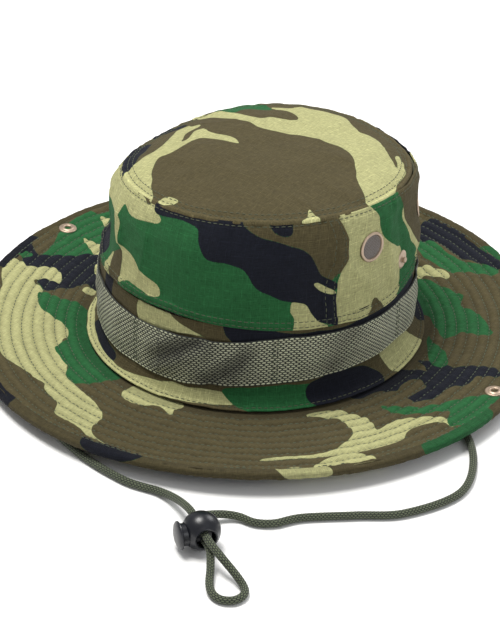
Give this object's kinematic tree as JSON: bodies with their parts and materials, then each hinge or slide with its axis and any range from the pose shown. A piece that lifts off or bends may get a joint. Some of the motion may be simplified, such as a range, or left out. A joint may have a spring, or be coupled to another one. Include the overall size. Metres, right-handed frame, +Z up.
{
  "type": "boonie hat",
  "caption": "Soft wide-brimmed field hat with vented crown, webbing loop band, snap-up side brims and a chin cord with a sliding lock.",
  "frame": {"origin": "on the surface the hat stands on, below the middle of the hat without its chin cord", "axes": "+Z up, -Y towards the front of the hat, +X towards the wearer's left"},
  "size_m": [0.3637, 0.411, 0.1293],
  "materials": {
    "camouflage_cloth": "cotton ripstop, four-colour woodland print",
    "lining_cloth": "plain olive cotton",
    "webbing": "woven sage green tape",
    "cord": "braided dark olive",
    "steel": "plain",
    "brass": "dull, lacquered",
    "black_plastic": "moulded gloss"
  },
  "bodies": {
    "hat": {"branch_loop_tape": "webbing", "brim_binding_front": "camouflage_cloth", "brim_binding_rear": "camouflage_cloth", "brim_core_middle": "lining_cloth", "brim_under_middle": "camouflage_cloth", "brim_upper_middle": "camouflage_cloth", "chin_cord": "cord", "chin_cord_tab_left": "webbing", "chin_cord_tab_right": "webbing", "crown_base_band": "camouflage_cloth", "crown_seam_binding": "lining_cloth", "crown_side_front": "camouflage_cloth", "crown_side_rear": "camouflage_cloth", "crown_top": "camouflage_cloth", "snap_stud_left": "brass", "snap_stud_right": "brass", "snap_stud_washer_left": "steel", "snap_stud_washer_right": "steel", "sweatband": "lining_cloth", "vent_ring_left_front": "brass", "vent_ring_left_rear": "brass", "vent_ring_right_front": "brass", "vent_ring_right_rear": "brass", "vent_screen_left_front": "steel", "vent_screen_left_rear": "steel", "vent_screen_right_front": "steel", "vent_screen_right_rear": "steel", "vent_washer_left_front": "brass", "vent_washer_left_rear": "brass", "vent_washer_right_front": "brass", "vent_washer_right_rear": "brass"},
    "right_side_brim": {"brim_binding_right": "camouflage_cloth", "brim_core_right": "lining_cloth", "brim_under_right": "camouflage_cloth", "brim_upper_right": "camouflage_cloth", "snap_socket_cap_right": "brass", "snap_socket_right": "brass"},
    "left_side_brim": {"brim_binding_left": "camouflage_cloth", "brim_core_left": "lining_cloth", "brim_under_left": "camouflage_cloth", "brim_upper_left": "camouflage_cloth", "snap_socket_cap_left": "brass", "snap_socket_left": "brass"},
    "cord_lock": {"cord_lock_body": "black_plastic", "cord_lock_spring": "steel"},
    "cord_lock_button": {"cord_lock_plunger": "black_plastic"}
  },
  "joints": [
    {"name": "right_brim_fold", "type": "hinge", "parent": "hat", "child": "right_side_brim", "pos_m": [0.0985, 0, 0.016], "axis": [0, -1, 0], "range_deg": [0, 98]},
    {"name": "left_brim_fold", "type": "hinge", "parent": "hat", "child": "left_side_brim", "pos_m": [-0.0985, 0, 0.016], "axis": [0, 1, 0], "range_deg": [0, 98]},
    {"name": "cord_lock_slide", "type": "slide", "parent": "hat", "child": "cord_lock", "axis": [0.8192, -0.5736, 0], "range_m": [0, 0.005]},
    {"name": "cord_lock_press", "type": "slide", "parent": "cord_lock", "child": "cord_lock_button", "axis": [0.5736, 0.8192, 0], "range_m": [0, 0.0025], "stiffness_N_per_m": 600, "deforming": ["cord_lock_spring"]}
  ]
}
